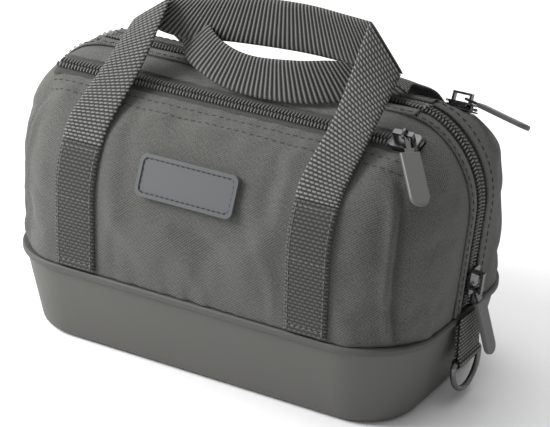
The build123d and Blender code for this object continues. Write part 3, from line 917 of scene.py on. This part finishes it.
# small rounded bars along every line, stood on the line's own normals
def repeatTree():
    group = bpy.data.node_groups.new("barsAlongLine", "GeometryNodeTree")
    group.interface.new_socket("Geometry", in_out="INPUT", socket_type="NodeSocketGeometry")
    for label, value in (
        ("Spacing", 0.002), ("Length", 0.003), ("Width", 0.001), ("Height", 0.001),
        ("Slant", 0.0), ("Jitter", 0.0),
    ):
        socket = group.interface.new_socket(label, in_out="INPUT", socket_type="NodeSocketFloat")
        socket.default_value = value
    group.interface.new_socket("Seed", in_out="INPUT", socket_type="NodeSocketInt")
    group.interface.new_socket("Material", in_out="INPUT", socket_type="NodeSocketMaterial")
    group.interface.new_socket("Geometry", in_out="OUTPUT", socket_type="NodeSocketGeometry")
    w = Wiring(group)
    into, out = w.add("NodeGroupInput").outputs, w.add("NodeGroupOutput")
    curve = w.feed("GeometryNodeMeshToCurve", {0: into["Geometry"]})[0]
    steps = {"Curve": curve, "Length": into["Spacing"]}
    spread = w.feed("GeometryNodeResampleCurve", steps, mode="LENGTH")[0]
    bar = w.feed("GeometryNodeMeshUVSphere", {"Segments": 8, "Rings": 6, "Radius": 0.5})
    sizes = {0: into["Length"], 1: into["Width"], 2: into["Height"]}
    size = w.feed("ShaderNodeCombineXYZ", sizes)[0]
    scaled = w.feed("GeometryNodeTransform", {"Geometry": bar["Mesh"], "Scale": size})[0]
    stand = {"Name": "stand"}
    normal = w.feed("GeometryNodeInputNamedAttribute", stand, data_type="FLOAT_VECTOR")[0]
    tangent = w.add("GeometryNodeInputTangent").outputs[0]
    aims = {0: normal, 1: tangent}
    axes = w.feed("FunctionNodeAxesToRotation", aims, primary_axis="Z", secondary_axis="X")[0]
    chance = w.feed("FunctionNodeRandomValue", {
        2: w.times(into["Jitter"], -1.0), 3: into["Jitter"], "Seed": into["Seed"],
    }, data_type="FLOAT")[1]
    angle = w.math("ADD", chance, into["Slant"])
    turn = w.feed("FunctionNodeAxisAngleToRotation", {0: (0, 0, 1), "Angle": angle})[0]
    both = w.feed("FunctionNodeRotateRotation", {0: axes, 1: turn}, rotation_space="LOCAL")[0]
    placed = {"Points": spread, "Instance": scaled, "Rotation": both}
    copies = w.feed("GeometryNodeInstanceOnPoints", placed)[0]
    real = w.feed("GeometryNodeRealizeInstances", {0: copies})[0]
    paint = {"Geometry": real, "Material": into["Material"]}
    w.put(w.feed("GeometryNodeSetMaterial", paint)[0], out.inputs[0])
    return group


barsAlongLine = repeatTree()


# a plain mesh of bars along every run; a run is points and the normals they stand on
def barsPiece(name, runs, material, **sizes):
    points, edges, stand = [], [], []
    for line, normals in runs:
        first = len(points)
        points += [tuple(q * mm) for q in line]
        stand += [tuple(q) for q in normals]
        edges += [(first + k, first + k + 1) for k in range(len(line) - 1)]
    mesh = bpy.data.meshes.new(name)
    mesh.from_pydata(points, edges, [])
    held = mesh.attributes.new("stand", "FLOAT_VECTOR", "POINT")
    held.data.foreach_set("vector", np.array(stand, float).ravel())
    obj = linked(name, mesh)
    modifier = obj.modifiers.new("bars", "NODES")
    modifier.node_group = barsAlongLine
    for item in barsAlongLine.interface.items_tree:
        if item.in_out == "INPUT" and item.name in sizes:
            modifier[item.identifier] = sizes[item.name]
        if item.in_out == "INPUT" and item.name == "Material":
            modifier[item.identifier] = material
    applyModifiers(obj)
    obj.data.materials.clear()
    obj.data.materials.append(material)
    obj.data.polygons.foreach_set("material_index", [0] * len(obj.data.polygons))
    obj.data.shade_smooth()
    return obj


# flat strip beside a line, from offset to offset + width to its side
def stripPiece(name, line, normals, offset, width):
    line, normals = np.array(line), np.array(normals)
    side = unit(np.cross(normals, np.gradient(line, axis=0)))
    a, b = line + side * offset, line + side * (offset + width)
    return ribbonPiece(name, a, b, normals, zipMake["tape"], tapeDark, 4)


print("zips")
zipMake = {
    "pitch": 2.0, "toothLength": 4.2, "toothWidth": 1.15, "toothHeight": 1.7, "rowCentre": 1.95,
    "slant": 78.0, "tape": 0.8,
}


# one row of coil teeth beside a zip's centre line
def coilRow(name, line, normals, sign, seed, keep=slice(None)):
    along = unit(np.gradient(line, axis=0))
    side = np.cross(normals, along)
    centre = line + side * sign * zipMake["rowCentre"] + along * zipMake["pitch"] / 4 * sign
    sizes = {
        "Spacing": zipMake["pitch"] * mm, "Length": zipMake["toothLength"] * mm,
        "Width": zipMake["toothWidth"] * mm, "Height": zipMake["toothHeight"] * mm,
        "Slant": math.radians(sign * zipMake["slant"]), "Jitter": 0.03, "Seed": seed,
    }
    return barsPiece(name, [(centre[keep], normals[keep])], coilGrey, **sizes)


roofNormal = np.array((0, -math.sin(slope), math.cos(slope)))
for half, flip in halves:
    line = np.array([(x, -zipY, roofZ) for x in np.linspace(-zipHalf + 0.5, zipHalf - 0.5, 60)])
    line = line + roofNormal * 0.5
    normals = np.tile(roofNormal, (len(line), 1))
    line, normals = sided(flip, line, normals)
    joinPieces(half + "ZipCoil", [coilRow("row", line, normals, sign, 5) for sign in (1, -1)])
    low = line - normals * 1.35
    tapes = [stripPiece("tape", low, normals, *span) for span in ((0.02, 7.7), (-0.02, -7.7))]
    joinPieces(half + "ZipTape", tapes)


# an arch's normals, kept upright across the bag
def archNormals(line):
    n = fieldNormal(line)
    n[:, 1] = 0
    return unit(n)


# the long zip: its back row is split where the parked slider stands
footTop = 77.1


def onFoot(line):
    return (line[:, 0] > 100) & (line[:, 2] < footTop)


archMid = archLine(0.0, 0.5, 54.0, 420)
archNormal = archNormals(archMid)
foot = onFoot(archMid)
backSide = 1 if np.cross(archNormal[200], archMid[201] - archMid[200])[1] > 0 else -1
for place, sign, keep in (
    ("Front", -backSide, foot | True), ("Back", backSide, ~foot), ("Foot", backSide, foot),
):
    coilRow("mainCoil" + place, archMid, archNormal, sign, 7, keep)
archTape = archLine(0.0, -1.0, 50.6, 300)
tapeNormal = archNormals(archTape)
foot = onFoot(archTape)
for place, sign, width, keep in (
    ("Front", -backSide, 7.9, foot | True), ("Back", backSide, 7.9, ~foot),
    ("Foot", backSide, 6.4, foot),
):
    stripPiece("mainTape" + place, archTape[keep], tapeNormal[keep], sign * 0.04, sign * width)

# folded cloth beside the long zip
for half, flip in halves:
    line = archLine(-slotHalf, 0.5, 50.6, 300)
    n = unit(evened(fieldNormal(line), 9))
    side = unit(np.cross(n, np.gradient(line, axis=0)))
    side = np.where((side[:, 1] > 0)[:, None], -side, side)
    inner, outer = line - side * 0.6, line + side * 6.2
    inner, outer, n = sided(flip, inner, outer, n)
    ribbonPiece(half + "Binding", inner, outer, n, 1.7, clothGrey, 10)

print("stitches")
stitchMake = {"pitch": 4.4, "length": 3.1, "width": 0.75, "height": 0.55}


def stitchSizes(seed, **other):
    sizes = {
        "Spacing": stitchMake["pitch"] * mm, "Length": stitchMake["length"] * mm,
        "Width": stitchMake["width"] * mm, "Height": stitchMake["height"] * mm,
        "Slant": 0.0, "Jitter": 0.12, "Seed": seed,
    }
    sizes.update(other)
    return sizes


def zipStitches(flip):
    runs = []
    for down in (11.5, 18.0):
        y, z = -zipY - down * math.cos(slope), roofZ - down * math.sin(slope)
        across = np.array([(x, y, z) for x in np.linspace(-108, 108, 120)])
        runs.append(onCloth(across, trees[flip], 0.1, flip))
    return runs


def bindingStitches(flip):
    line = archLine(-slotHalf - 4.6, 1.75, 52.0, 300)
    n = evened(fieldNormal(line), 9)
    return [sided(flip, line, n)]


# up both edges of each strap, across its top and in a box at its foot
def strapStitches(flip):
    runs = []
    top = shoulderAngle(strapMake["topZ"] - 2.6)
    for x in (-strapX, strapX):
        for side in (-1, 1):
            runs.append(panelLine(x + side * (strapHalf - 2.3), 53.5, 30, 0.03, top, 20))
        for z in (55.0, 92.0):
            across = np.linspace(x - 10.2, x + 10.2, 12)
            runs.append([(q, -bagForm["halfWidth"], z) for q in across])
        runs.append([(q, *profilePoint(top)) for q in np.linspace(x - 11, x + 11, 14)])
    out = []
    for line in runs:
        line = dropOn(line, strapMake["thickness"] + 0.2)
        out.append(sided(flip, line, fieldNormal(line)))
    return out


for ending, linesOf, thread, seed, other in (
    ("Stitches", zipStitches, threadDark, 3, {}),
    ("BindingStitches", bindingStitches, threadDark, 5, {}),
    ("StrapStitches", strapStitches, threadLight, 8, {"Spacing": 0.003, "Length": 0.0022}),
):
    for half, flip in halves:
        barsPiece(half + ending, linesOf(flip), thread, **stitchSizes(seed + flip, **other))

badgeMake = {"halfLength": 27.6, "halfHeight": 9.1, "cornerR": 2.6, "lean": 21.7, "recess": 0.6}
lean = math.radians(badgeMake["lean"])
badgeOut = np.array((0, -math.cos(lean), math.sin(lean)))
badgeUp = np.array((0, math.sin(lean), math.cos(lean)))
corners = vertexArray(nodes["badge"])
corners = np.array([list(nodes["badge"].matrix_world @ Vector(q * mm)) for q in corners]) / mm
heights, depths = corners @ badgeUp, corners @ badgeOut
middle = np.array((badgeCentre[0], 0, 0)) + badgeUp * (heights.min() + heights.max()) / 2
middle = middle + badgeOut * (depths.max() - badgeMake["recess"] + 0.12)
loop = []
r = badgeMake["cornerR"]
for k, (sx, sy) in enumerate(((1, -1), (1, 1), (-1, 1), (-1, -1))):
    turn = math.radians(90 * k)
    for a in np.linspace(turn - math.pi / 2, turn, 8):
        u = sx * (badgeMake["halfLength"] - r) + r * math.cos(a)
        v = sy * (badgeMake["halfHeight"] - r) + r * math.sin(a)
        loop.append(middle + np.array((u, 0, 0)) + badgeUp * v)
loop = np.array(loop + loop[:1])
outwards = np.tile(badgeOut, (len(loop), 1))
badgeSizes = stitchSizes(10, Spacing=0.0031, Length=0.0023)
barsPiece("badgeStitches", [(loop, outwards)], threadDark, **badgeSizes)
tabMake = {"barX": 130.2, "barZ": 24.0, "foldR": 2.5, "thickness": 1.25}


# webbing sewn to the seam and folded round the ring's bar
def tabPiece(name, side):
    ringX, ringZ, r = tabMake["barX"], tabMake["barZ"], tabMake["foldR"]
    line = [(ringX + 1.0, z) for z in np.linspace(50.8, 27.5, 14)]
    turns = np.linspace(math.radians(55), math.radians(-235), 26)
    line += [(ringX + r * math.cos(a), ringZ + r * math.sin(a)) for a in turns]
    line += [(ringX - 1.0, z) for z in np.linspace(27.5, 46.0, 10)]
    line = np.array([(side * x, 0, z) for x, z in line])
    n = unit(np.cross(np.gradient(line, axis=0), np.array((0, 1.0, 0))))
    a, b = line - (0, strapHalf, 0), line + (0, strapHalf, 0)
    ribbonPiece(name, a, b, n, tabMake["thickness"], webbingGrey, 18)


tabPiece("ringTabRight", 1)
tabPiece("ringTabLeft", -1)
linerMake = {
    "halfLength": 113.0, "footZ": 53, "depth": 9.4, "rimDepth": 2.6, "thickness": 0.8,
    "flat": (0.226, 0.109),
}


# loose pocket lining: one sheet behind the panel, its rim turned out to the panel
def linerPiece(name, flip):
    cols, rows = 60, 36
    wide, deep, rimDepth = linerMake["halfLength"], linerMake["depth"], linerMake["rimDepth"]
    straight = bagForm["shoulderZ"] - linerMake["footZ"]
    bend = math.radians(shoulderTurn)
    total = straight + bagForm["shoulderR"] * bend + 2
    points, depths, faces, uv = [], [], [], []
    for j in range(rows + 1):
        t = j / rows
        gone = t * total
        for i in range(cols + 1):
            s = i / cols * 2 - 1
            rim = min(1.0, (1 - abs(s)) / 0.05, (t + 0.02) / 0.08, (1.02 - t) / 0.06)
            depths.append(rimDepth + (deep - rimDepth) * max(0.0, min(1.0, rim)) ** 0.6)
            if gone < straight:
                points.append((s * wide, -bagForm["halfWidth"], linerMake["footZ"] + gone))
            else:
                turn = min((gone - straight) / bagForm["shoulderR"], bend)
                points.append((s * wide, *profilePoint(turn)))
            uv.append((s * wide + 200, gone))
    base = dropOn(points, 0)
    n = fieldNormal(base)
    p = base - n * np.array(depths)[:, None] + n * 0.15 * valueNoise(base, 18, 40)[:, None]
    for j in range(rows):
        for i in range(cols):
            a = j * (cols + 1) + i
            faces.append((a, a + 1, a + cols + 2, a + cols + 1))
    if flip:
        p = flipY(p)
        faces = [f[::-1] for f in faces]
    obj = meshPiece(name, p, faces, liningGrey, uv)
    wallOf(obj, linerMake["thickness"])
    return obj


frontLiner = linerPiece("frontPocketLiner", False)
backLiner = linerPiece("backPocketLiner", True)


# foam floor pad in a knitted cover, its rim rounded and its top slightly crowned
def padPiece():
    low, high = (np.array(c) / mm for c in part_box("floor_pad"))
    halfX, halfY = high[0] - 1.0, high[1] - 1.0
    points, faces, uv, outline = [], [], [], []
    steps, power = 96, 2 / 4.6
    for a in [2 * math.pi * k / steps for k in range(steps)]:
        x, y = (math.copysign(abs(q) ** power, q) for q in (math.cos(a), math.sin(a)))
        outline.append((x * halfX, y * halfY))
    levels = [(0.3, 1), (0.6, 1), (0.85, 1), (0.955, 1), (1.0, 0.5), (0.97, 0.0), (0.6, 0.0)]
    for scale, up in levels:
        for x, y in outline:
            z = low[2] + 0.15 + (high[2] - low[2] - 0.3) * up
            if up == 1:
                z += 0.5 * (1 - scale ** 4) - 0.5
            points.append((x * scale, y * scale, z))
            uv.append((x * scale + 200, y * scale + 200))
    last = (len(levels) - 1) * steps
    for first in range(0, last, steps):
        for k in range(steps):
            a, b = first + k, first + (k + 1) % steps
            faces.append((a, b, b + steps, a + steps))
    faces.append(tuple(range(steps))[::-1])
    faces.append(tuple(last + k for k in range(steps)))
    return facesOut(meshPiece("floorPad", points, faces, liningGrey, uv))


floorPad = padPiece()

print("frame calls")


# rides on the bag, or on the back half, which folds, has its transform baked in and is left
# unparented
def attach(name, replaced=(), folds=False):
    piece = bpy.data.objects[name]
    if folds:
        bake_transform(piece)
    else:
        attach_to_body(piece, "bag")
    if replaced:
        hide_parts(*replaced)


for half, folds in halves:
    for ending, slotName, replaced in (
        ("Cloth", "cloth", ("panel", "gusset")),
        ("Straps", "webbing", ("strap_left", "strap_right")),
        ("ZipCoil", "coil", ("zip_coil",)), ("ZipTape", "tape", ("zip_tape",)),
        ("Binding", "binding", ("binding",)), ("PocketLiner", "lining", ("pocket_wall",)),
        ("Stitches", "webbing", ()), ("BindingStitches", "webbing", ()),
        ("StrapStitches", "webbing", ()),
    ):
        attach(half + ending, [half + "_" + part for part in replaced], folds)
for place in ("Front", "Back", "Foot"):
    for kind in ("coil", "tape"):
        node = "main_" + kind + "_" + place.lower()
        attach("main" + kind.capitalize() + place, [node], place == "Back")
attach("badgeStitches")
attach("ringTabRight", ["ring_tab_right"])
attach("ringTabLeft", ["ring_tab_left"])
attach("floorPad", ["floor_pad"])

for half, body, side in (("front", "bag", 1), ("back", "back_half", -1)):
    piece = bpy.data.objects[half + "Handle"]
    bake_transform(piece)
    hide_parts(half + "_handle")

print("stage")
floorMesh = bpy.data.meshes.new("floor")
floorMesh.from_pydata([(-6, -6, 0), (6, -6, 0), (6, 9, 0), (-6, 9, 0)], [], [(0, 1, 2, 3)])
floor = linked("floor", floorMesh)
floorPaint, _, floorShader = newMaterial("paleFloor", 0.9)
floorShader.inputs["Base Color"].default_value = (0.93, 0.93, 0.94, 1)
floorMesh.materials.append(floorPaint)


def areaLight(name, place, target, size, power):
    data = bpy.data.lights.new(name, "AREA")
    data.size = size
    data.energy = power
    obj = linked(name, data)
    obj.location = place
    obj.rotation_mode = "QUATERNION"
    obj.rotation_quaternion = (Vector(target) - Vector(place)).to_track_quat("-Z", "Y")


areaLight("keyLeft", (-0.78, -0.5, 0.66), (-0.08, 0, 0.08), 0.5, 17)
areaLight("topSoft", (-0.2, 0.4, 1.5), (0, 0, 0.08), 1.4, 16)
world = bpy.data.worlds.new("studio")
bpy.context.scene.world = world
world.use_nodes = True
world.node_tree.nodes["Background"].inputs[0].default_value = (1, 1, 1, 1)
skyWiring = Wiring(world.node_tree)
seen = skyWiring.add("ShaderNodeLightPath").outputs["Is Camera Ray"]
sky = world.node_tree.nodes["Background"]
skyWiring.put(skyWiring.span(seen, 0.0, 1.0, 0.42, 1.0), sky.inputs[1])

cameraMake = {
    "azimuth": 30.14, "elevation": 23.96, "distance": 1.14501, "target": (0.0102, 0, 0.07661),
    "roll": 1.56, "lens": 136.7,
}
camera = linked("camera", bpy.data.cameras.new("camera"))
camera.data.lens = cameraMake["lens"]
camera.data.sensor_width = 36
azimuth, elevation = math.radians(cameraMake["azimuth"]), math.radians(cameraMake["elevation"])
flat = math.cos(elevation)
back = Vector((math.sin(azimuth) * flat, -math.cos(azimuth) * flat, math.sin(elevation)))
camera.location = Vector(cameraMake["target"]) + back * cameraMake["distance"]
camera.rotation_mode = "QUATERNION"
look = (-back).to_track_quat("-Z", "Y")
camera.rotation_quaternion = look @ Quaternion((0, 0, 1), math.radians(cameraMake["roll"]))
bpy.context.scene.camera = camera
bpy.context.scene.view_settings.view_transform = "Standard"
